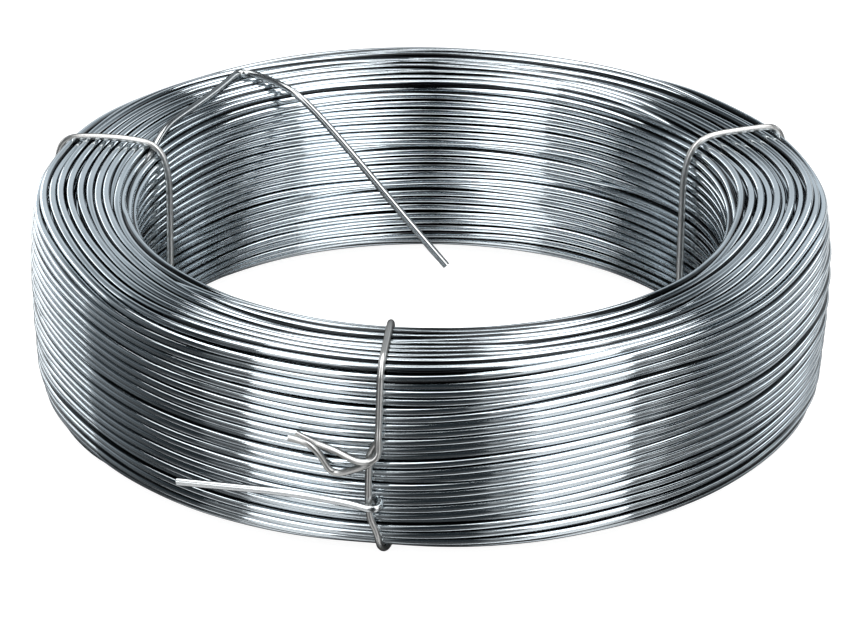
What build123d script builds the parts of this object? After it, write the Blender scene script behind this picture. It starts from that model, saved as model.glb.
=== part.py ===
"""A small coil of bright galvanised steel wire, held by three twisted tie wires and lying flat.

Millimetres. The coil's axis is Z, and Z is zero on the floor, which the undersides of the three ties touch.
Seen from -Y, the front tie is just left of the middle, with the coil's outer end hooked round it.
"""

import os
from math import cos, radians, sin, sqrt

from build123d import *

# The wire, and the coil that it is wound into
wire_diameter = 2.7
wire_sides = 8
bore_radius = 100.0
ring_width = 33.6
belly = 2.2
belly_band_share = 0.4
coil_height = 68.0
groove_depth = 1.25
top_ridge_pitch = 4.2
other_ridge_pitch = 11.0
inner_top_chamfer = 3.4
inner_bottom_chamfer = 6.0
outer_top_chamfer = 2.8
outer_bottom_chamfer = 5.3

# The tie wires: one round the front of the coil, one at its left and one at its right
tie_diameter = 2.0
tie_sides = 6
seat_gap = 0.25
tie_azimuths = {"tie_wire_front": -96.5, "tie_wire_right": 24.9, "tie_wire_left": 160.5}
inner_lean_shares = {"tie_wire_front": -0.8, "tie_wire_right": 1.0, "tie_wire_left": -1.5}
inner_slack = 1.2
lean = 3.2
tail_length = 29.0
loop_bend = 1.2
root_bend = 2.4
eye_bend = 3.6
twist_height_share = 0.53

# Places on a tie's tail, as shares: leftwards and upwards of its length, outwards of the tie's diameter
upper_strand_shares = {
    "root": (0.0, -0.03, 1.2),
    "sag": (0.31, -0.05, 1.2),
    "cross": (0.70, 0.14, 0.0),
    "tip": (0.95, 0.22, 0.0),
}
lower_strand_shares = {
    "loop": (0.08, 0.25, 0.0),
    "eye": (0.47, -0.29, 0.1),
    "cross": (0.78, 0.15, 1.5),
    "tip": (1.0, 0.19, 0.9),
}

# The coil's inner end: up from the innermost turn, over the top, then back and down into the bore
inner_end_gap = 0.2
inner_end_tip_height = 16.5
feed_length = 60.0
inner_end_sink = 0.75
inner_root_azimuth = 163.0
inner_leave_azimuth = 157.0
inner_over_azimuth = 144.0
inner_crest_azimuth = 124.6
inner_edge_azimuth = 120.7
inner_tip_azimuth = 84.2
inner_crest_bend_share = 0.15
inner_dip_bend_share = 0.71
inner_over_share = 0.16
inner_crest_share = 0.65
inner_edge_share = -0.09
inner_tip_share = 0.572

# The coil's outer end: hooked round the front tie, along the outer turns, then off them on the tangent
hook_gap = 0.25
hook_height = 21.7
outer_end_lie_turn = 13.5
outer_end_free_length = 35.7
outer_end_lie_height = 21.7
outer_end_tip_height = 18.9

# Worked out from the sizes above
wire_radius = wire_diameter / 2
tie_radius = tie_diameter / 2
tie_seat = seat_gap + tie_radius
coil_bottom = tie_diameter + seat_gap
coil_top = coil_bottom + coil_height
end_row_radius = bore_radius + ring_width
belly_radius = end_row_radius + belly
tie_inner = bore_radius - tie_seat - inner_slack
tie_outer = belly_radius + tie_seat
tie_top = coil_top + tie_seat
twist_height = coil_bottom + twist_height_share * coil_height


def place(radius, azimuth, height):
    """A point given by its distance from the axis, its direction in degrees from +X, and its height."""
    return Vector(radius * cos(radians(azimuth)), radius * sin(radians(azimuth)), height)


def beside(azimuth, out, along, height):
    """A point given in the frame of a tie: out from the axis, and along the turns, to the right from outside."""
    outwards = place(1, azimuth, 0)
    rightwards = place(1, azimuth + 90, 0)
    return outwards * out + rightwards * along + Vector(0, 0, height)


def outer_radius(height):
    """The coil's outer radius at a height, on its bellied wall."""
    slope = (1 - belly_band_share) * coil_height / 2
    from_end = min(height - coil_bottom, coil_top - height)
    return end_row_radius + belly * min(1, from_end / slope)


def end_points(face_height, way, ridge_pitch, inner_chamfer, outer_chamfer):
    """One end of the coil's section from the bore outwards: ridges where turns lie, and grooves between them.

    way is +1 for the top and -1 for the bottom.
    """
    flat = ring_width - inner_chamfer - outer_chamfer
    ridges = int(flat / ridge_pitch)
    points = [(bore_radius, face_height - way * (inner_chamfer + groove_depth))]
    for ridge in range(ridges):
        groove = bore_radius + inner_chamfer + flat * ridge / ridges
        points.append((groove, face_height - way * groove_depth))
        points.append((groove + flat / ridges / 2, face_height))
    points.append((end_row_radius - outer_chamfer, face_height - way * groove_depth))
    points.append((end_row_radius, face_height - way * (outer_chamfer + groove_depth)))
    return points


def wall_points(low, high, radius_at, way):
    """One wall of the coil's section between two heights: ridges where turns lie, and grooves between them.

    radius_at gives the wall's radius at a height. way is +1 for the outer wall and -1 for the bore.
    """
    ridges = int((high - low) / other_ridge_pitch)
    pitch = (high - low) / ridges
    points = []
    for ridge in range(ridges):
        groove = low + ridge * pitch
        crest = groove + pitch / 2
        if ridge:
            points.append((radius_at(groove) - way * groove_depth, groove))
        points.append((radius_at(crest), crest))
    return points


def bent_wire(diameter, sides, points, radii):
    """A wire along straight runs joined by tangent arcs, or by plain kinks where a radius is zero.

    Its round section has few sides.
    """
    with BuildLine() as route:
        FilletPolyline(*points, radius=radii)
    with BuildSketch(Plane(origin=route.line @ 0, z_dir=route.line % 0)) as section:
        RegularPolygon(diameter / 2, sides)
    sweep(section.sketch, path=route.line, transition=Transition.RIGHT)
    return route.wire().length


def inner_end_route():
    """The coil's inner end, from inside the innermost turn at the top to the start of its round last run."""
    in_row = coil_top - wire_radius - inner_end_sink
    on_top = coil_top + wire_radius + inner_end_gap
    first_turn = bore_radius + inner_top_chamfer
    points = [
        place(first_turn, inner_root_azimuth, in_row),
        place(first_turn, inner_leave_azimuth, in_row),
        place(bore_radius + inner_over_share * ring_width, inner_over_azimuth, on_top),
        place(bore_radius + inner_crest_share * ring_width, inner_crest_azimuth, on_top),
        place(bore_radius + inner_edge_share * ring_width, inner_edge_azimuth, on_top),
    ]
    tip = place(inner_tip_share * bore_radius, inner_tip_azimuth, inner_end_tip_height)
    last_run = Plane(origin=tip, z_dir=points[-1] - tip)
    points.append(last_run.from_local_coords(Vector(0, 0, feed_length)))
    bends = [0, 0, inner_crest_bend_share * ring_width, inner_dip_bend_share * ring_width]
    return last_run, points, bends


def outer_end_route():
    """The coil's outer end: inside the last turn, round the right side of the front tie, and back to the left."""
    azimuth = tie_azimuths["tie_wire_front"]
    wall = outer_radius(hook_height)
    in_row = wall - wire_radius
    over_tie = tie_outer + tie_radius + hook_gap + wire_radius
    hook_radius = (over_tie - in_row) / 2
    hook_side = hook_radius - lean
    lie_radius = wall + hook_gap + wire_radius
    lie_azimuth = azimuth - outer_end_lie_turn
    lie = place(lie_radius, lie_azimuth, outer_end_lie_height)
    tip = lie + place(outer_end_free_length, lie_azimuth - 90, 0)
    points = [
        beside(azimuth, in_row, -lean - hook_radius, hook_height),
        beside(azimuth, in_row, hook_side, hook_height),
        beside(azimuth, over_tie, hook_side, hook_height),
        beside(azimuth, over_tie, -lean - hook_radius, hook_height),
        lie,
        Vector(tip.X, tip.Y, outer_end_tip_height),
    ]
    hook_bend = hook_radius - hook_gap / 2
    return points, [hook_bend, hook_bend, 0, 0]


def tie_route(azimuth, inner_lean):
    """A tie from one tip of its twist, round the coil's section, to the other tip.

    Its outer run leans to the left below the twist, and inner_lean is how far right its inner run stands.
    """

    def on_tail(shares):
        left, up, out = shares
        along = -left * tail_length
        lying = sqrt(tie_outer**2 - along**2)
        return beside(azimuth, lying + out * tie_diameter, along, twist_height + up * tail_length)

    upper = [on_tail(shares) for shares in upper_strand_shares.values()]
    lower = [on_tail(shares) for shares in lower_strand_shares.values()]
    across = tie_seat * (2 - sqrt(2))
    outer_top_cut = outer_top_chamfer + belly + across
    inner_top_cut = inner_top_chamfer + inner_slack + across
    inner_bottom_cut = inner_bottom_chamfer + inner_slack + across
    outer_bottom_cut = outer_bottom_chamfer + belly + across
    loop = [
        beside(azimuth, tie_outer, 0, tie_top - outer_top_cut),
        beside(azimuth, tie_outer - outer_top_cut, 0, tie_top),
        beside(azimuth, tie_inner + inner_top_cut, inner_lean, tie_top),
        beside(azimuth, tie_inner, inner_lean, tie_top - inner_top_cut),
        beside(azimuth, tie_inner, inner_lean, tie_radius + inner_bottom_cut),
        beside(azimuth, tie_inner + inner_bottom_cut, inner_lean, tie_radius),
        beside(azimuth, tie_outer - outer_bottom_cut, 0, tie_radius),
        beside(azimuth, tie_outer, 0, tie_radius + outer_bottom_cut),
        beside(azimuth, tie_outer, -lean, hook_height),
    ]
    upper_radii = [0, 0, root_bend]
    lower_radii = [loop_bend, eye_bend, eye_bend]
    return upper[::-1] + loop + lower, upper_radii + [0] * len(loop) + lower_radii


os.makedirs("parts", exist_ok=True)

# The coil is one turned solid with its bore, fused with both free ends of the same wire
with BuildPart() as wire_coil:
    with BuildSketch(Plane.XZ):
        with BuildLine():
            top_points = end_points(coil_top, 1, top_ridge_pitch, inner_top_chamfer, outer_top_chamfer)
            top = Polyline(*top_points)
            bottom_points = end_points(
                coil_bottom, -1, other_ridge_pitch, inner_bottom_chamfer, outer_bottom_chamfer
            )
            bottom = Polyline(*bottom_points)
            bore_points = wall_points((bottom @ 0).Y, (top @ 0).Y, lambda height: bore_radius, -1)
            Polyline(bottom @ 0, *bore_points, top @ 0)
            outer_points = wall_points((bottom @ 1).Y, (top @ 1).Y, outer_radius, 1)
            Polyline(bottom @ 1, *outer_points, top @ 1)
        make_face()
    revolve(axis=Axis.Z)
    last_run, inner_points, inner_radii = inner_end_route()
    inner_end_length = bent_wire(wire_diameter, wire_sides, inner_points, inner_radii) + feed_length
    outer_end_length = bent_wire(wire_diameter, wire_sides, *outer_end_route())
    with BuildSketch(last_run):
        Circle(wire_radius)
    extrude(amount=feed_length)
wire_coil.part.label = "wire_coil"
export_step(wire_coil.part, "parts/wire_coil.step")
print(f"inner end {inner_end_length:.1f} mm, outer end {outer_end_length:.1f} mm")

# The three ties are alike
for name, azimuth in tie_azimuths.items():
    with BuildPart() as tie:
        inner_lean = inner_lean_shares[name] * tie_diameter
        tie_length = bent_wire(tie_diameter, tie_sides, *tie_route(azimuth, inner_lean))
    tie.part.label = name
    export_step(tie.part, f"parts/{name}.step")
    share = tie.part.volume / (RegularPolygon(tie_radius, tie_sides, mode=Mode.PRIVATE).area * tie_length)
    print(f"{name} {tie_length:.1f} mm long, volume {share:.4f} of section times length")
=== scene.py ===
# %% [markdown]
# # A coil of galvanised wire
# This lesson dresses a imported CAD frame: a small coil of bright wire, held by three twisted ties. The frame
# gives every place and size, so it is loaded first and never moved.

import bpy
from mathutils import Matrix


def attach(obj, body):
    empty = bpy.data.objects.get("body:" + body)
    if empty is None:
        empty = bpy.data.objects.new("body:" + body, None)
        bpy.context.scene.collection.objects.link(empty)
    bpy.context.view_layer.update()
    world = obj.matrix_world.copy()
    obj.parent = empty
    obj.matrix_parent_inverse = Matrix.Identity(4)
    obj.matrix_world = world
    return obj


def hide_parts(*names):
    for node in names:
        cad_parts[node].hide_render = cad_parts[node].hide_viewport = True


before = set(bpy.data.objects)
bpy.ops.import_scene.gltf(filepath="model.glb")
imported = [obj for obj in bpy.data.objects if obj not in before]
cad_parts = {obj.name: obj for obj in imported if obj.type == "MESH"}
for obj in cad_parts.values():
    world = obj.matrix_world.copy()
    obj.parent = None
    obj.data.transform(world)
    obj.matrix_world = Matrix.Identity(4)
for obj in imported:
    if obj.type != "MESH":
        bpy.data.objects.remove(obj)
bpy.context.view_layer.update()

# %% [markdown]
# ## Tools
# Blender works in metres and a wire is thought of in millimetres. So the coil's sizes stay in millimetres
# here, and each is multiplied by MM where it goes to Blender. Floor and lights are large and stay in metres.

# %% Tools for the whole lesson
from math import cos, pi, radians, sin, sqrt

import bpy
import numpy as np
from mathutils import Matrix, Vector

MM = 0.001
print("one millimetre is", MM, "of Blender's units")

# %% [markdown]
# ## Camera
# A long lens from well back and a little above, as for a catalogue picture, keeps the coil's ellipse calm.
# The camera looks a little below the middle of the coil, so that the coil sits high in the frame, with no
# lens shift. It is built from a direction, a distance and a roll, because those are what one reads from a
# picture.

# %% Camera
coil_middle = Vector((0, 0, 36.25))
camera_rise = radians(25.04)
camera_distance = 1659.6
camera_roll = radians(0.75)
camera_lens = 203.7
aim_right, aim_down = 0.55, 13.28

camera_data = bpy.data.cameras.new("catalogue_camera")
camera_data.lens = camera_lens
camera_data.clip_end = 20
camera = bpy.data.objects.new("catalogue_camera", camera_data)
bpy.context.scene.collection.objects.link(camera)
bpy.context.scene.camera = camera

roll = Matrix.Rotation(camera_roll, 3, "Z")
towards_camera = Vector((0, -cos(camera_rise), sin(camera_rise)))
eye = coil_middle + towards_camera * camera_distance
look = (-towards_camera).to_track_quat("-Z", "Y").to_matrix() @ roll
aim = coil_middle - look.col[0] * aim_right - look.col[1] * aim_down
aimed_look = (aim - eye).to_track_quat("-Z", "Y").to_matrix() @ roll
camera.matrix_world = Matrix.Translation(eye * MM) @ aimed_look.to_4x4()
print("camera at", [round(v, 3) for v in camera.location])

# %% [markdown]
# ## Floor
# The coil lies on a plain white table. The table is white to the eye, but bright wire would mirror that white
# and look like paper. So the wire sees the table as polished instead: dark in front, glowing behind the coil,
# and brighter inside the bore, and the lights then show twice in each turn. A Light Path node tells the two
# apart. Node trees repeat a few steps, so small helpers add a Map Range, a Math or a Mix node with its links.

# %% Floor
floor_size = 12.0
bpy.ops.object.select_all(action="DESELECT")
bpy.ops.mesh.primitive_plane_add(size=floor_size)
floor = bpy.context.object
floor.name = "white_table"
print("floor", floor.name, floor_size, "m wide")


# %% Helpers for node trees
def put_in(tree, socket, value):
    """Links a node's output to a socket, or sets the socket to a plain value."""
    if isinstance(value, bpy.types.NodeSocket):
        tree.links.new(value, socket)
    else:
        socket.default_value = value


def map_range(tree, value, from_min, from_max, to_min=0.0, to_max=1.0, kind="LINEAR"):
    """A value that is stretched from one range to another and held at the ends."""
    node = tree.nodes.new("ShaderNodeMapRange")
    node.interpolation_type = kind
    put_in(tree, node.inputs["Value"], value)
    limits = {"From Min": from_min, "From Max": from_max, "To Min": to_min, "To Max": to_max}
    for name, limit in limits.items():
        put_in(tree, node.inputs[name], limit)
    return node.outputs["Result"]


def maths(tree, operation, *values):
    """The result of a Math node."""
    node = tree.nodes.new("ShaderNodeMath")
    node.operation = operation
    for socket, value in zip(node.inputs, values):
        put_in(tree, socket, value)
    return node.outputs[0]


def mix_colour(tree, factor, first, second, blend="MIX"):
    """The colour that a Mix node gives."""
    node = tree.nodes.new("ShaderNodeMix")
    node.data_type = "RGBA"
    node.blend_type = blend
    for name, value in (("Factor", factor), ("A", first), ("B", second)):
        put_in(tree, node.inputs[name], value)
    return node.outputs["Result"]


print("node helpers", map_range.__name__, maths.__name__, mix_colour.__name__)

# %% Table finish
table_roughness = 0.12
eye_white = (0.94, 0.94, 0.94, 1)
glow_starts, glow_full = 0.08, 0.22
glow_in_front, glow_behind = 0.04, 0.45
bore_edge, bore_inside = 0.099, 0.095
polish_outside, polish_in_bore = 0.30, 0.65

table_white = bpy.data.materials.new("table_white")
table_white.use_nodes = True
tree = table_white.node_tree
shader = tree.nodes["Principled BSDF"]
shader.inputs["Roughness"].default_value = table_roughness
shader.inputs["Emission Strength"].default_value = 1.0
place = tree.nodes.new("ShaderNodeTexCoord")
split = tree.nodes.new("ShaderNodeSeparateXYZ")
tree.links.new(place.outputs["Object"], split.inputs[0])
off_axis = tree.nodes.new("ShaderNodeVectorMath")
off_axis.operation = "LENGTH"
tree.links.new(place.outputs["Object"], off_axis.inputs[0])
seen = tree.nodes.new("ShaderNodeLightPath").outputs["Is Camera Ray"]

polish = map_range(tree, off_axis.outputs["Value"], bore_edge, bore_inside, polish_outside, polish_in_bore)
tree.links.new(polish, shader.inputs["Base Color"])
tree.links.new(maths(tree, "SUBTRACT", 1.0, seen), shader.inputs["Metallic"])
glow = map_range(tree, split.outputs["Y"], glow_starts, glow_full, glow_in_front, glow_behind)
tree.links.new(mix_colour(tree, seen, glow, eye_white), shader.inputs["Emission Color"])
floor.data.materials.append(table_white)
print("table finish", table_white.name, len(tree.nodes), "nodes")

# %% [markdown]
# ## Light
# Bright wire has hardly any colour of its own and shows what stands round it, so the light is built as
# reflections. A tall softbox stands on each side of the camera, with the dark between them where the camera
# is. A dim panel beside each edge lets its reflection fade out, as the cloth of a real softbox does. Two high
# panels and one overhead light the top turns at the front, and two more the top turns at the back. Low strips
# at the right and behind the coil draw the thin bright lines on the walls. The lamps could be placed by hand,
# but a direction, a rise and a distance from the coil are easier to read back and change.

# %% Softboxes
def softbox(name, azimuth, rise, distance, width, height, power):
    """An area light that faces the coil. Its azimuth is in degrees, to the right of the camera."""
    light = bpy.data.lights.new(name, "AREA")
    light.shape = "RECTANGLE"
    light.size, light.size_y = width, height
    light.energy = power
    lamp = bpy.data.objects.new(name, light)
    bpy.context.scene.collection.objects.link(lamp)
    a, e = radians(azimuth), radians(rise)
    way = Vector((sin(a) * cos(e), -cos(a) * cos(e), sin(e)))
    turned = way.to_track_quat("Z", "Y").to_matrix().to_4x4()
    lamp.matrix_world = Matrix.Translation(way * distance + coil_middle * MM) @ turned
    print(name, "faces the coil from", [round(v, 2) for v in lamp.location])


# Each line gives azimuth, rise, distance, width, height and power
# Beside the camera, with dim edges
softbox("softbox_right", 40, 30, 1.7, 0.90, 1.7, 11)
softbox("softbox_left", -35, 30, 1.7, 0.75, 1.6, 8.3)
softbox("softbox_right_inner_edge", 20, 30, 1.75, 0.4, 1.5, 0.6)
softbox("softbox_left_inner_edge", -17, 30, 1.75, 0.4, 1.5, 0.5)
softbox("softbox_left_edge", -53, 30, 1.75, 0.5, 1.4, 0.45)
softbox("softbox_right_edge", 59, 30, 1.75, 0.5, 1.5, 0.9)
# At the side and above
softbox("softbox_side_right", 80, 14, 2.0, 1.4, 0.2, 1.3)
softbox("softbox_high_right", 70, 64, 1.7, 1.3, 1.0, 10)
softbox("softbox_high_left", -70, 64, 1.7, 1.3, 1.0, 10)
softbox("softbox_top", 0, 77, 1.7, 1.4, 0.45, 4.2)
# Behind the coil
softbox("softbox_back_left", 230, 8, 2.0, 2.1, 0.36, 4.6)
softbox("softbox_back_right", 124, 18, 2.0, 1.6, 0.36, 3.0)
softbox("softbox_high_back_right", 145, 62, 1.7, 1.0, 0.6, 6.0)
softbox("softbox_high_back_left", 215, 62, 1.7, 1.0, 0.6, 5.0)

# %% [markdown]
# ## Room
# Between the lamps the wire mirrors the room: nearly black, with a pale wall at the back that stops short of
# the floor and of the ceiling. The wall could be a plane, but as part of the world it throws no shadow and
# needs no place.

# %% Room
dark_room = (0.022, 0.028, 0.032, 1)
pale_wall = (0.66, 0.71, 0.75, 1)
ceiling_share = 0.03

room = bpy.data.worlds.new("studio_room")
room.use_nodes = True
bpy.context.scene.world = room
tree = room.node_tree
facing = tree.nodes.new("ShaderNodeTexCoord")
split = tree.nodes.new("ShaderNodeSeparateXYZ")
tree.links.new(facing.outputs["Generated"], split.inputs[0])
towards_back = map_range(tree, split.outputs["Y"], -0.2, 0.7)
above_horizon = map_range(tree, split.outputs["Z"], 0.04, 0.14)
below_ceiling = map_range(tree, split.outputs["Z"], 0.65, 0.40, ceiling_share)
wall_band = maths(tree, "MULTIPLY", above_horizon, below_ceiling)
wall_share = maths(tree, "MULTIPLY", towards_back, wall_band)
tree.links.new(mix_colour(tree, wall_share, dark_room, pale_wall), tree.nodes["Background"].inputs["Color"])
bpy.context.scene.view_settings.view_transform = "Standard"
print("room", room.name, len(tree.nodes), "nodes")

# %% [markdown]
# ## Finishes
# Galvanised wire is drawn through a die, so faint marks run along it, and the zinc leaves soft cloudy
# patches. All the wires carry these marks, so they are one node group that puts out a tone, a gloss and a
# fine height. The streaks read the wire's own UV map: one way along the wire and the other way round it.

# %% Drawing marks
def noise(tree, vector, scale, detail):
    """A value that changes softly over a surface, round a half."""
    node = tree.nodes.new("ShaderNodeTexNoise")
    node.inputs["Scale"].default_value = scale
    node.inputs["Detail"].default_value = detail
    tree.links.new(vector, node.inputs["Vector"])
    return node.outputs["Fac"]


def drawn_wire_marks():
    """A node group: streaks along a wire, from its UV map, and clouds of zinc."""
    group = bpy.data.node_groups.new("drawn_wire_marks", "ShaderNodeTree")
    for way, names in (("INPUT", ("Streaks", "Clouds")), ("OUTPUT", ("Tone", "Gloss", "Height"))):
        for name in names:
            group.interface.new_socket(name, in_out=way, socket_type="NodeSocketFloat")
    given, put = group.nodes.new("NodeGroupInput"), group.nodes.new("NodeGroupOutput")
    place = group.nodes.new("ShaderNodeTexCoord")
    stretch = group.nodes.new("ShaderNodeMapping")
    stretch.inputs["Scale"].default_value = (30, 14, 1)
    group.links.new(place.outputs["UV"], stretch.inputs["Vector"])
    streaks = noise(group, stretch.outputs[0], 1.0, 2.0)
    clouds = noise(group, place.outputs["Object"], 90.0, 3.0)
    streak_tone = maths(group, "MULTIPLY", maths(group, "SUBTRACT", streaks, 0.5), given.outputs["Streaks"])
    cloud_tone = maths(group, "MULTIPLY", maths(group, "SUBTRACT", clouds, 0.5), given.outputs["Clouds"])
    both = maths(group, "ADD", streak_tone, cloud_tone)
    group.links.new(maths(group, "ADD", both, 1.0), put.inputs["Tone"])
    group.links.new(maths(group, "MULTIPLY_ADD", both, -0.5, 0.5), put.inputs["Gloss"])
    group.links.new(streaks, put.inputs["Height"])
    return group


wire_marks = drawn_wire_marks()
print("group", wire_marks.name, len(wire_marks.nodes), "nodes")

# %% [markdown]
# ## Three zinc finishes
# The grooves between turns are painted dark: painted shade. Each turn's points say how far they face out
# of the coil, as an attribute named crest, and the finish paints that shade where it is low. A second
# attribute, turn_tone, makes one turn a little lighter than the next. The coil's own finish is the brightest.
# The free ends are duller, and their darker tone is painted shade. The ties are soft wire, rougher and more
# grey. Ends and ties also
# look dark along their edges: Specular Tint is what the metal keeps of its shine at a glancing angle, and it
# is set to black for both.

# %% Wire finish
# Painted shade: the grooves between turns are darkened down to this share of the tone
groove_shade_tone = 0.04
groove_starts, groove_ends = 0.50, 0.12
mark_strength, mark_depth = 0.015, 0.02


def attribute(tree, name):
    """The value of an attribute that a piece's points carry."""
    node = tree.nodes.new("ShaderNodeAttribute")
    node.attribute_name = name
    return node.outputs["Fac"]


def bright_wire(name, colour, rough_low, rough_high, streaks, clouds, edge):
    """A bright metal with drawing marks. Its roughness runs between the two values.

    The edge is how much of its shine the metal keeps where it is seen at a glancing angle.
    """
    finish = bpy.data.materials.new(name)
    finish.use_nodes = True
    tree = finish.node_tree
    shader = tree.nodes["Principled BSDF"]
    shader.inputs["Metallic"].default_value = 1.0
    shader.inputs["Specular Tint"].default_value = (edge, edge, edge, 1)
    marks = tree.nodes.new("ShaderNodeGroup")
    marks.node_tree = wire_marks
    marks.inputs["Streaks"].default_value = streaks
    marks.inputs["Clouds"].default_value = clouds
    unshaded_tone = maths(tree, "MULTIPLY", marks.outputs["Tone"], attribute(tree, "turn_tone"))
    # Painted shade: where the crest is low, the tone falls towards the groove's dark share
    crest = attribute(tree, "crest")
    groove = map_range(tree, crest, groove_ends, groove_starts, groove_shade_tone, kind="SMOOTHSTEP")
    tone = maths(tree, "MULTIPLY", unshaded_tone, groove)
    tree.links.new(mix_colour(tree, 1.0, (*colour, 1), tone, "MULTIPLY"), shader.inputs["Base Color"])
    rough = map_range(tree, marks.outputs["Gloss"], 0.0, 1.0, rough_low, rough_high)
    tree.links.new(rough, shader.inputs["Roughness"])
    bump = tree.nodes.new("ShaderNodeBump")
    bump.inputs["Strength"].default_value = mark_strength
    bump.inputs["Distance"].default_value = mark_depth * MM
    tree.links.new(marks.outputs["Height"], bump.inputs["Height"])
    tree.links.new(bump.outputs["Normal"], shader.inputs["Normal"])
    print("finish", name, len(tree.nodes), "nodes")
    return finish


# %% The three finishes
coil_zinc = bright_wire(
    "coil_zinc", (0.66, 0.72, 0.76), rough_low=0.04, rough_high=0.14, streaks=0.06, clouds=0.22, edge=1.0
)
# The free ends are the coil's own wire; their darker base colour here is painted shade
shaded_end_zinc = bright_wire(
    "shaded_end_zinc", (0.50, 0.52, 0.53), rough_low=0.10, rough_high=0.24, streaks=0.15, clouds=0.22, edge=0.0
)
tie_zinc = bright_wire(
    "tie_zinc", (0.60, 0.60, 0.59), rough_low=0.26, rough_high=0.36, streaks=0.2, clouds=0.2, edge=0.0
)

# %% [markdown]
# ## The turns
# The real coil is one wire wound in a dozen layers. Only its skin shows, so the skin's turns are modelled one
# by one, with a second layer behind them that shows dark through the gaps. A turn is a closed ring here,
# because the rise of one turn is only a wire's width in its whole way round. One long helix could be drawn
# instead, but rings are easier to lean on each other. The skin is the line round the coil's section on which
# the middles of its turns lie: a rectangle with round corners and a bellied outer side.

# %% Skin of the coil's section
wire = 2.7
bore_radius = 100.0
end_row_radius = 133.6
belly = 2.5
coil_bottom, coil_top = 2.25, 70.25
corner_steps = 8
skin_samples = 1200


def skin_path(inset, corners):
    """The line through the middles of the turns, as a closed loop of radius and height, from the bore's top.

    The corners' radii are of the inner top, outer top, outer bottom and inner bottom.
    """
    low, high = coil_bottom + inset, coil_top - inset
    near, far = bore_radius + inset, end_row_radius - inset
    corner_spots = (
        (near, high, 1, -1, 180),
        (far, high, -1, -1, 90),
        (far, low, -1, 1, 0),
        (near, low, 1, 1, 270),
    )
    points = []
    for (x, z, to_x, to_z, start), corner in zip(corner_spots, corners):
        radius = max(0.5, corner - inset)
        for step in range(corner_steps + 1):
            angle = radians(start - 90 * step / corner_steps)
            points.append((x + to_x * radius + radius * cos(angle), z + to_z * radius + radius * sin(angle)))
    loop = np.array(points + points[:1])
    lengths = np.concatenate([[0], np.cumsum(np.hypot(*np.diff(loop, axis=0).T))])
    along = np.linspace(0, lengths[-1], skin_samples)
    path = np.stack([np.interp(along, lengths, loop[:, i]) for i in (0, 1)], 1)
    height_share = (path[:, 1] - coil_bottom) / (coil_top - coil_bottom) * 2 - 1
    outwards = np.clip((path[:, 0] - bore_radius) / (end_row_radius - bore_radius), 0, 1)
    path[:, 0] += belly * outwards**4 * (1 - np.abs(height_share) ** 2.5)
    return along, path


skin_corners = (8.0, 5.0, 7.3, 8.0)
skin_along, skin = skin_path(wire / 2, skin_corners)
skin_length = skin_along[-1]
print(f"the skin is {skin_length:.1f} mm round, room for {skin_length / wire:.1f} wires")

# %% [markdown]
# ## Wandering turns
# Hand-wound turns are never even: they lean on each other, sink between their neighbours and wander along the
# skin. So each turn gets a share of the skin that changes slowly round the coil, held at 64 stations. Slow
# waves with chance phases do the wandering, and smooth bumps set single places. Chance starts from a fixed
# seed, so the coil comes out the same each time.

# %% Slow changes round the coil
stations = 64
azimuths = np.arange(stations) * 2 * pi / stations
chance = np.random.default_rng(7)


def wander(count, waves, size):
    """Slow changes round the coil, one row a turn, with a spread of about the size."""
    waves_round = np.arange(1, waves + 1)
    phase = chance.uniform(0, 2 * pi, (count, waves, 1))
    strength = chance.normal(0, 1, (count, waves, 1)) / np.sqrt(waves)
    return size * (strength * np.cos(waves_round[None, :, None] * azimuths[None, None, :] + phase)).sum(1)


def bump_round(centre, half_width):
    """A smooth bump of one at an azimuth in degrees, a row over the stations."""
    off = np.angle(np.exp(1j * (azimuths - radians(centre))))
    return np.exp(-0.5 * (off / radians(half_width)) ** 2)


print(stations, "stations, a bump of 30 degrees covers", int((bump_round(0, 30) > 0.5).sum()), "of them")

# %% Shares of the skin
turns = 67
top_band = 5
shares = 1 + wander(turns, waves=6, size=0.18)
middle_spots = np.interp((np.arange(turns) + 0.5) / turns * skin_length, skin_along, np.arange(len(skin)))
middles = skin[middle_spots.astype(int)]
on_top = middles[:, 1] > coil_top - top_band

# On top every other turn sinks between its neighbours, more so at the right, in front and behind
nestle = 0.10 + 0.16 * bump_round(5, 45) + 0.10 * bump_round(-90, 30) + 0.10 * bump_round(90, 30)
alternate = np.where(np.arange(turns) % 2 == 0, 1.0, -1.0)
shares += on_top[:, None] * (alternate[:, None] * nestle[None, :] + wander(turns, waves=9, size=0.12))
print(turns, "turns,", int(on_top.sum()), "on top, shares", shares.min().round(2), shares.max().round(2))

# %% Gaps and dips
loose_gaps, dips = 45, 32
corner_reach = 7
smallest_share = 0.2
for _ in range(loose_gaps):
    loose = chance.integers(turns)
    shares[loose] += chance.uniform(0.15, 0.45) * bump_round(chance.uniform(0, 360), chance.uniform(8, 28))

# Turns dip only on the flat sides, because a corner would show a notch
off_wall = np.minimum(middles[:, 0] - bore_radius, end_row_radius - middles[:, 0])
off_end = np.minimum(middles[:, 1] - coil_bottom, coil_top - middles[:, 1])
on_flat = np.flatnonzero(np.maximum(off_wall, off_end) > corner_reach)
for _ in range(dips):
    dipping = chance.choice(on_flat)
    shares[dipping] -= chance.uniform(0.1, 0.38) * bump_round(chance.uniform(0, 360), chance.uniform(10, 30))

# One turn on top dives right under the others at the left
diving_radius = 110
diving = np.argmin(np.hypot(middles[:, 0] - diving_radius, middles[:, 1] - coil_top))
shares[diving] -= 0.75 * bump_round(200, 22)
shares = np.clip(shares, smallest_share, None)
print(loose_gaps, "gaps,", dips, "dips, shares", shares.min().round(2), "to", shares.max().round(2))

# %% [markdown]
# ## Laying the turns
# A turn with a small share is squeezed inwards, and the ties press the lowest outer turns in. Turns that
# still meet are then pushed apart, a little at a time, as wires in a bundle do. Last come the coil's slow
# bulges.

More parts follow.
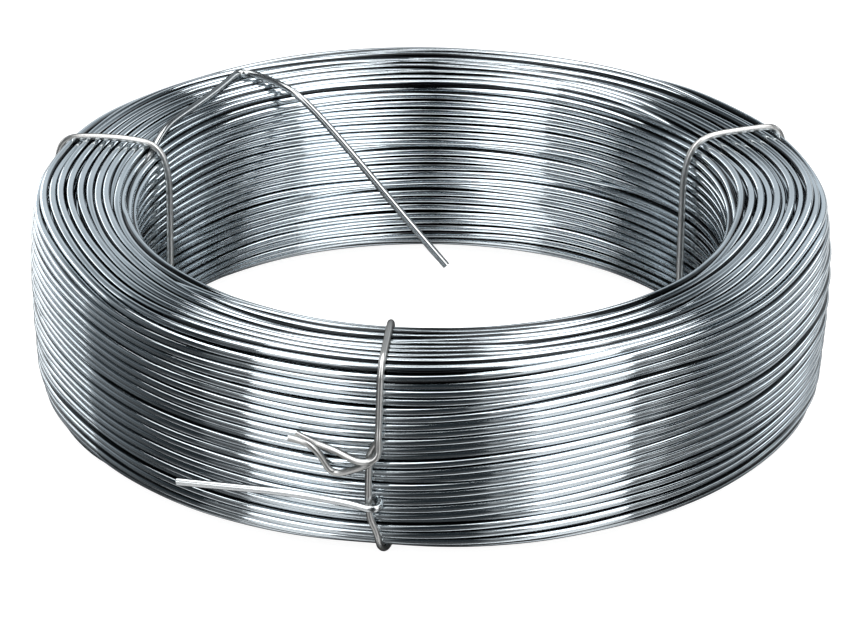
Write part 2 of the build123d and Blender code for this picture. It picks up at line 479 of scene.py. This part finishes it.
# %% Sinking
squeeze, squeezed_below = 3.2, 0.96
tie_azimuth = {"front": -96.5, "right": 24.9, "left": 160.5}
tie_press, tie_press_width = 0.9, 5
foot_radius, foot_height, foot_spread = 131, 5, 4
sink = squeeze * np.clip(squeezed_below - shares, 0, None) + np.abs(wander(turns, waves=14, size=0.16))
off_foot = np.hypot(middles[:, 0] - foot_radius, middles[:, 1] - foot_height)
at_foot = np.exp(-0.5 * (off_foot / foot_spread) ** 2)
for azimuth in tie_azimuth.values():
    sink += tie_press * at_foot[:, None] * bump_round(azimuth, tie_press_width)
print("turns sink up to", sink.max().round(2), "mm")


# %% Laying
def lay_turns(along, path, shares, sink):
    """Places each turn on the skin by its share of it and sinks it inwards. Both have a row a turn."""
    length = along[-1]
    ends = np.cumsum(shares, 0)
    spot = (ends - shares / 2) / ends[-1] * length
    radius = np.interp(spot, along, path[:, 0])
    height = np.interp(spot, along, path[:, 1])
    step = length / len(along)
    ahead, behind = (spot + step) % length, (spot - step) % length
    to_x = np.interp(ahead, along, path[:, 0]) - np.interp(behind, along, path[:, 0])
    to_z = np.interp(ahead, along, path[:, 1]) - np.interp(behind, along, path[:, 1])
    size = np.hypot(to_x, to_z)
    return radius + sink * to_z / size, height - sink * to_x / size


radius, height = lay_turns(skin_along, skin, shares, sink)
print("laid at radius", radius.min().round(2), "to", radius.max().round(2))


# %% Settling
def settle(radius, height, closest, rounds):
    """Pushes turns of a closed loop apart until their middles are no closer than a given distance."""
    for _ in range(rounds):
        for gap in (1, 2, 3):
            to_x = np.roll(radius, -gap, 0) - radius
            to_z = np.roll(height, -gap, 0) - height
            apart = np.hypot(to_x, to_z)
            push = np.clip(closest - apart, 0, None) / 2 / np.maximum(apart, 1e-6)
            radius += np.roll(push * to_x, gap, 0) - push * to_x
            height += np.roll(push * to_z, gap, 0) - push * to_z
    return radius, height


radius, height = settle(radius, height, closest=0.985 * wire, rounds=60)
print("settled at radius", radius.min().round(2), "to", radius.max().round(2))


# %% Bulges
def ramp(value, start, length):
    """A share that grows from zero at the start to one."""
    return np.clip((value - start) / length, 0, 1)


outer_share = ramp(middles[:, 0], start=116, length=16)[:, None]
upper_share = ramp(middles[:, 1], start=20, length=30)[:, None]
radius += outer_share * upper_share * (1.3 * bump_round(150, 26) + 1.5 * bump_round(20, 20))
radius -= outer_share * (1 - upper_share) * (0.9 * bump_round(-30, 18) + 0.6 * bump_round(205, 22))
height += 0.7 * on_top[:, None] * outer_share * bump_round(30, 30)
print("radius", radius.min().round(2), "to", radius.max().round(2),
      "height", height.min().round(2), "to", height.max().round(2))

# %% [markdown]
# ## Second layer
# Through the gaps of a real coil one sees the next layer, in the dark. It is laid in the same way on a
# smaller skin, but more evenly, because so little of it shows.

# %% Second layer
behind_turns = 58
behind_depth = 2.35
behind_along, behind_skin = skin_path(wire / 2 + behind_depth, skin_corners)
behind_shares = 1 + wander(behind_turns, waves=4, size=0.08)
no_sink = np.zeros_like(behind_shares)
behind_radius, behind_height = lay_turns(behind_along, behind_skin, behind_shares, no_sink)
behind_radius, behind_height = settle(behind_radius, behind_height, closest=0.95 * wire, rounds=20)
print(behind_turns, "turns behind the skin")

# %% [markdown]
# ## Rings from curves
# A turn is drawn as a closed NURBS curve with a round bevel, as one would draw it by hand, and made into a
# mesh. A torus is always round and flat, and a curve follows the wandering points. It passes a little inside
# its points, so the points stand out by that much. The bevel also brings the UV map that the finish needs.

# %% Wire pieces
def wire_curve(name, diameter, sides, steps):
    """An empty curve with a round bevel, as thick as a wire."""
    curve = bpy.data.curves.new(name, "CURVE")
    curve.dimensions = "3D"
    curve.bevel_depth = diameter / 2 * MM
    curve.bevel_resolution = (sides - 4) // 2
    curve.resolution_u = steps
    return curve


def wire_piece(name, curve, finish, slot):
    """Makes a bevelled curve into a mesh piece that rides on the coil."""
    piece = bpy.data.objects.new(name, curve)
    bpy.context.scene.collection.objects.link(piece)
    bpy.ops.object.select_all(action="DESELECT")
    bpy.context.view_layer.objects.active = piece
    piece.select_set(True)
    bpy.ops.object.convert(target="MESH")
    piece = bpy.context.object
    piece.data.materials.clear()
    piece.data.materials.append(finish)
    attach(piece, "root")
    faces = sum(len(p.vertices) - 2 for p in piece.data.polygons)
    print(name, faces, "triangles", [layer.name for layer in piece.data.uv_layers])
    return piece


def mark_points(piece, name, values):
    """Gives each point of a piece a value, as an attribute."""
    layer = piece.data.attributes.new(name, "FLOAT", "POINT")
    layer.data.foreach_set("value", np.asarray(values, np.float32).ravel())


def tone_turns(piece, tones):
    """Gives each turn of a piece its own tone."""
    mark_points(piece, "turn_tone", np.repeat(tones, len(piece.data.vertices) // len(tones)))


print("wires are made by", wire_curve.__name__, "and", wire_piece.__name__)

# %% [markdown]
# ## Crests and painted groove shade
# A groove between bright turns is painted dark, as painted shade. A point's crest is
# how far it faces out of the coil, measured from the middle of its own wire: one on the crest and zero in the
# groove. The painted shade reaches further up the wire in some places, and that reach changes round the coil.

# %% Ways out of the coil
def faces_out(rows_radius, rows_height):
    """The way each turn faces out of the coil's section, across the line through its neighbours."""
    to_r = np.roll(rows_radius.mean(1), -2) - np.roll(rows_radius.mean(1), 2)
    to_z = np.roll(rows_height.mean(1), -2) - np.roll(rows_height.mean(1), 2)
    return np.stack([-to_z, to_r], 1) / np.hypot(to_r, to_z)[:, None]


facing = faces_out(radius, height)
print(int((facing[:, 0] > 0.7).sum()), "turns face outwards,", int((facing[:, 1] > 0.7).sum()), "face up")

# %% Reach of the painted groove shade
wall_reach = 0.42 * (bump_round(0, 40) + bump_round(180, 40))
outer_reach = wall_reach - 0.12 * (bump_round(-69, 10) + bump_round(-107, 10))
inner_reach = wall_reach + 0.15 * bump_round(10, 16) + 0.62 * bump_round(90, 10) - 0.7 * bump_round(114, 8)
end_reach = 0.2 + 0.15 * (bump_round(0, 45) + bump_round(180, 45))
end_reach = end_reach + 0.6 * bump_round(92, 11) + 0.6 * bump_round(-87, 15)
print("grooves reach up to", [row.max().round(2) for row in (outer_reach, inner_reach, end_reach)])

# %% Crests
corner_facing, corner_ease = 0.3, 0.6
print(int((facing.min(1) > corner_facing).sum()), "turns on the outer top corner have shallow grooves")


def mark_crests(piece, radii, heights, facing, reach):
    """Says how far each point of each ring faces out of the coil: one on the crest, and zero in the groove.

    The painted groove shade reaches up the wire by a share that changes round the coil, and less on the outer
    top corner.
    """
    spots = np.empty(len(piece.data.vertices) * 3, np.float32)
    piece.data.vertices.foreach_get("co", spots)
    x, y, z = spots.reshape(len(radii), -1, 3).transpose(2, 0, 1) / MM
    turned = np.arctan2(y, x) % (2 * pi)
    out = np.hypot(x, y)
    round_again = np.append(azimuths, 2 * pi)
    crest = np.empty_like(out)
    for ring, (ring_radius, ring_height) in enumerate(zip(radii, heights)):
        to_r = out[ring] - np.interp(turned[ring], round_again, np.append(ring_radius, ring_radius[0]))
        to_z = z[ring] - np.interp(turned[ring], round_again, np.append(ring_height, ring_height[0]))
        crest[ring] = (to_r * facing[ring, 0] + to_z * facing[ring, 1]) / (wire / 2)
        up_to = np.interp(turned[ring], round_again, np.append(reach, reach[0]))
        if min(facing[ring]) > corner_facing:
            up_to = up_to - corner_ease
        crest[ring] = (crest[ring] - up_to) / (1 - up_to)
    mark_points(piece, "crest", crest.clip(0, 1))


# %% [markdown]
# ## The pieces of the skin
# The skin is made as four pieces: the outer wall, the inner wall, the top and the bottom. Each has grooves of
# its own, and one side can be hidden while another is worked on. The turns behind are a fifth piece, with
# fewer faces.

# %% Sides of the skin
end_band = 4.2
wall_split = bore_radius + 16
mean_radius, mean_height = radius.mean(1), height.mean(1)
is_top = mean_height > coil_top - end_band
is_bottom = mean_height < coil_bottom + end_band
is_outer = ~is_top & ~is_bottom & (mean_radius > wall_split)
is_inner = ~is_top & ~is_bottom & ~is_outer
counts = [int(chosen.sum()) for chosen in (is_outer, is_inner, is_top, is_bottom)]
print("turns outside, inside, on top and below", counts)

# %% Rings
swell = 3 / (2 + cos(2 * pi / stations))
print(f"ring points stand out {swell:.4f} times")


def ring_piece(name, radii, heights, facing, reach, sides, steps, spread):
    """Rings through rows of radius and height, in one piece, each ring with a tone of its own."""
    curve = wire_curve(name, wire, sides, steps)
    for ring_radius, ring_height in zip(radii, heights):
        spline = curve.splines.new("NURBS")
        spline.points.add(stations - 1)
        x, y = ring_radius * swell * np.cos(azimuths), ring_radius * swell * np.sin(azimuths)
        points = np.stack([x * MM, y * MM, ring_height * MM, np.ones(stations)], 1)
        spline.points.foreach_set("co", points.ravel())
        spline.order_u = 4
        spline.use_cyclic_u = True
        spline.use_smooth = True
    piece = wire_piece(name, curve, coil_zinc, "wire")
    tone_turns(piece, chance.normal(1.0, spread, len(radii)).clip(0.7, 1.2))
    mark_crests(piece, radii, heights, facing, reach)
    return piece


for name, chosen, reach in (
    ("turns_outer", is_outer, outer_reach),
    ("turns_inner", is_inner, inner_reach),
    ("turns_top", is_top, end_reach),
    ("turns_bottom", is_bottom, end_reach),
):
    rows = (radius[chosen], height[chosen], facing[chosen])
    piece = ring_piece(name, *rows, reach, sides=12, steps=3, spread=0.05)
    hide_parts("wire_coil")

# %% Rings behind
behind_facing = faces_out(behind_radius, behind_height)
behind_rows = (behind_radius, behind_height, behind_facing)
behind = ring_piece("turns_behind", *behind_rows, end_reach, sides=8, steps=2, spread=0.04)
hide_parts("wire_coil")

# %% [markdown]
# ## The free ends
# Stiff wire bends in long curves with a few tight kinks. Each end is therefore one NURBS curve with a round
# bevel, whose points stand close together only at a kink. Points are given round the coil's axis, or beside a
# tie, because that is how one would measure them on the real coil.

# %% Places and bent wires
def polar(distance, azimuth, z):
    """A point by its distance from the axis, its direction in degrees from +X, and its height."""
    return Vector((distance * cos(radians(azimuth)), distance * sin(radians(azimuth)), z))


def beside(azimuth, along, out, z):
    """A point beside a tie: along the turns to the right, as seen from outside, and out from the axis."""
    return polar(out, azimuth, z) + polar(along, azimuth + 90, 0)


def bent_wire(name, points, diameter, finish, slot, tone=1.0):
    """A round wire along a smooth line near its points, with flat cut ends."""
    curve = wire_curve(name, diameter, sides=12, steps=6)
    curve.use_fill_caps = True
    spline = curve.splines.new("NURBS")
    spline.points.add(len(points) - 1)
    for spot, point in zip(spline.points, points):
        spot.co = (*(point * MM), 1)
    spline.order_u = 4
    spline.use_endpoint_u = True
    spline.use_smooth = True
    piece = wire_piece(name, curve, finish, slot)
    tone_turns(piece, [tone])
    mark_points(piece, "crest", np.ones(len(piece.data.vertices)))
    return piece


front = tie_azimuth["front"]
print("the front tie stands at", [round(v, 1) for v in polar(end_row_radius, front, 0)])

# %% [markdown]
# ## Inner end
# The wire's inner end leaves the innermost top turn, climbs on to the top and runs out over it. There it
# kinks, comes straight back over the edge and dives into the bore in a slightly bowed line.

# %% Inner end
on_top_height = coil_top + wire / 2 + 0.2
in_row = coil_top - wire / 2
inner_tip = polar(57.2, 84.2, 16.5)
inner_edge = polar(97.0, 120.7, on_top_height)
climb = [
    polar(103.8, 170.0, in_row - 3.9),
    polar(103.7, 166.0, in_row - 3.4),
    polar(103.8, 161.5, in_row - 2.6),
    polar(104.3, 156.8, in_row - 0.1),
    polar(105.3, 152.3, on_top_height - 0.4),
]
out_and_back = (
    (106.2, 147.5), (107.6, 141.5), (111.8, 134.0), (117.4, 128.2), (119.8, 126.5),
    (121.3, 125.1), (119.8, 123.7), (116.0, 122.8), (109.0, 121.9), (102.5, 121.2),
)
dive_bows = ((0.02, 0.8), (0.16, 1.8), (0.40, 1.4), (0.65, 0.5), (0.88, 0.0))
over_top = [polar(distance, azimuth, on_top_height) for distance, azimuth in out_and_back]
dive = [inner_edge.lerp(inner_tip, share) + Vector((bow, 0, 0)) for share, bow in dive_bows]
inner_route = climb + over_top + dive + [inner_tip]
inner_end = bent_wire("inner_wire_end", inner_route, wire, shaded_end_zinc, "wire")
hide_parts("wire_coil")

# %% [markdown]
# ## Outer end
# The outer end comes out of the last turn under the front tie, turns back round the tie's right side as a
# small hook, and then lies along the turns to the left until it stands off them, straight.

# %% Outer end
hook_height = 22.0
lie_azimuth = front - 13.5
lie = polar(137.3, lie_azimuth, 22.4)
outer_tip = lie + polar(35.7, lie_azimuth - 90, -3.2)
hook = (
    (-12.0, 130.5, 0.4), (-7.0, 131.5, 0.4), (-3.2, 133.4, 0.6), (-0.9, 134.2, 0.8), (0.3, 136.0, 0.7),
    (0.5, 138.4, 0.2), (-0.4, 140.2, -0.2), (-3.4, 140.1, -0.2), (-8.0, 138.6, 0.3), (-14.0, 137.6, 0.6),
)
outer_route = [beside(front, along, out, hook_height + up) for along, out, up in hook]
outer_route += [polar(137.4, front - 9.0, 22.6), lie]
outer_route += [lie.lerp(outer_tip, share) for share in (0.3, 0.65)] + [outer_tip]
# A tone of 1.2 makes the outer end lighter than the inner end: painted light
outer_end = bent_wire("outer_wire_end", outer_route, wire, shaded_end_zinc, "wire", tone=1.2)
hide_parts("wire_coil")

# %% [markdown]
# ## The ties
# Each tie is one soft wire, led round the coil's section and closed by crossing its two ends into a loose
# twist that is pressed flat to the outer turns. The upper strand turns off to the left in front of the other.
# The lower strand climbs behind it, makes an eye below it and comes out in front. A loop and two tails could
# be three curves, but one curve bends as one wire does, and it has no joint to hide.

# %% Tie points
tie_wire = 2.3
tie_out, tie_in = 137.05, 97.5

# Along the turns to the right, out from the outer run, and up
upper_strand = (
    (-27.0, 0.0, 44.0), (-24.5, 0.0, 43.0), (-22.0, 0.0, 42.0), (-20.0, 0.0, 41.5), (-17.5, 0.4, 41.0),
    (-14.5, 1.0, 40.5), (-12.0, 1.8, 40.0), (-9.0, 2.7, 39.0), (-6.5, 3.5, 38.5), (-4.2, 4.0, 38.5),
    (-1.8, 4.1, 39.2), (-0.2, 3.8, 40.5), (0.2, 3.2, 42.0), (0.1, 2.8, 44.0), (0.0, 2.2, 46.5),
    (0.0, 0.8, 50.0), (0.0, 0.1, 54.0), (0.0, -0.5, 58.5), (0.0, -1.2, 62.5),
)
lower_strand = (
    (-3.1, 0.0, 18.5), (-3.2, 0.0, 23.0), (-3.3, 0.0, 27.0), (-3.3, 0.0, 31.0), (-3.1, 0.0, 35.0),
    (-3.3, 0.0, 38.0), (-2.8, 0.0, 40.0), (-2.0, 0.0, 41.5), (-1.0, 0.2, 43.5), (-0.2, 0.4, 45.0),
    (0.4, 0.8, 43.0), (-0.2, 1.6, 40.0), (-2.2, 2.0, 37.7), (-4.6, 1.9, 36.0), (-8.0, 1.1, 34.2),
    (-11.0, 0.6, 32.6), (-13.6, 0.2, 31.8), (-15.8, 0.2, 32.6), (-17.0, 0.5, 34.7), (-18.2, 1.0, 37.2),
    (-19.5, 1.8, 39.5), (-21.5, 2.3, 41.5), (-23.5, 2.3, 42.5), (-26.0, 2.1, 43.0), (-29.0, 1.8, 43.0),
)
# Along the turns to the right, out from the axis, and up
over_run = (
    (0.1, 135.5, 66.2), (0.2, 133.9, 69.4), (0.4, 131.0, 71.2), (0.4, 127.0, 71.4), (0.4, 118.0, 71.5),
    (0.3, 111.0, 71.5), (0.2, 106.5, 71.2), (0.1, 103.6, 70.4), (0.1, 101.3, 68.9), (0.0, 99.7, 66.6),
    (0.0, 98.6, 63.0), (0.0, 97.6, 58.0),
)
under_run = (
    (0.0, 97.5, 48.0), (0.0, 97.5, 36.0), (0.0, 97.5, 22.0), (0.0, 97.5, 13.0), (0.0, 98.3, 6.5),
    (0.0, 101.5, 2.3), (0.6, 106.5, 1.2), (1.8, 114.0, 1.2), (2.4, 120.5, 1.2), (2.1, 125.0, 1.2),
    (1.2, 129.2, 1.8), (0.0, 132.6, 4.6), (-0.15, 134.9, 8.6), (-0.9, 136.2, 12.5), (-2.25, 136.9, 15.5),
)
tie_points = len(upper_strand) + len(over_run) + len(under_run) + len(lower_strand)
print("a tie is led through", tie_points, "points")

# %% [markdown]
# ## One route for three ties
# The ties share one route, and each is fitted to its own place: how far its inner run leans to the right, how
# far the coil's upper corner bulges out there, and how much it rises where the top turns stand higher.

# %% Ties
tie_inner_lean = {"front": -0.9, "right": 2.0, "left": -3.0}
tie_corner_out = {"front": 0.0, "right": 0.0, "left": 2.0}
tie_rise = {"front": 0.0, "right": 1.2, "left": 0.2}
corner_drop = 0.9
coil_top_edge = 68


def tie_route(side):
    """The points of a tie from its upper tip, round the coil's section, to its lower tip."""
    azimuth, lean, corner_out = tie_azimuth[side], tie_inner_lean[side], tie_corner_out[side]

    def strand(places):
        points = []
        for along, off, z in places:
            out = sqrt(tie_out**2 - along**2) + off + corner_out * ramp(z, start=48, length=10)
            points.append(beside(azimuth, along, out, z))
        return points

    def leaning(along, out):
        return along + lean * (tie_out - out) / (tie_out - tie_in)

    def fitted(along, out, z):
        outer = corner_out * ramp(out, start=122, length=10)
        rise = tie_rise[side] * ramp(out, start=100, length=8) * (z > coil_top_edge)
        return beside(azimuth, leaning(along, out), out + outer, z + rise - corner_drop * outer)

    over = [fitted(*place) for place in over_run]
    under = [beside(azimuth, leaning(along, out), out, z) for along, out, z in under_run]
    return strand(upper_strand) + over + under + strand(lower_strand)


for side in tie_azimuth:
    tie = bent_wire(f"tie_{side}", tie_route(side), tie_wire, tie_zinc, "tie")
    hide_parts(f"tie_wire_{side}")
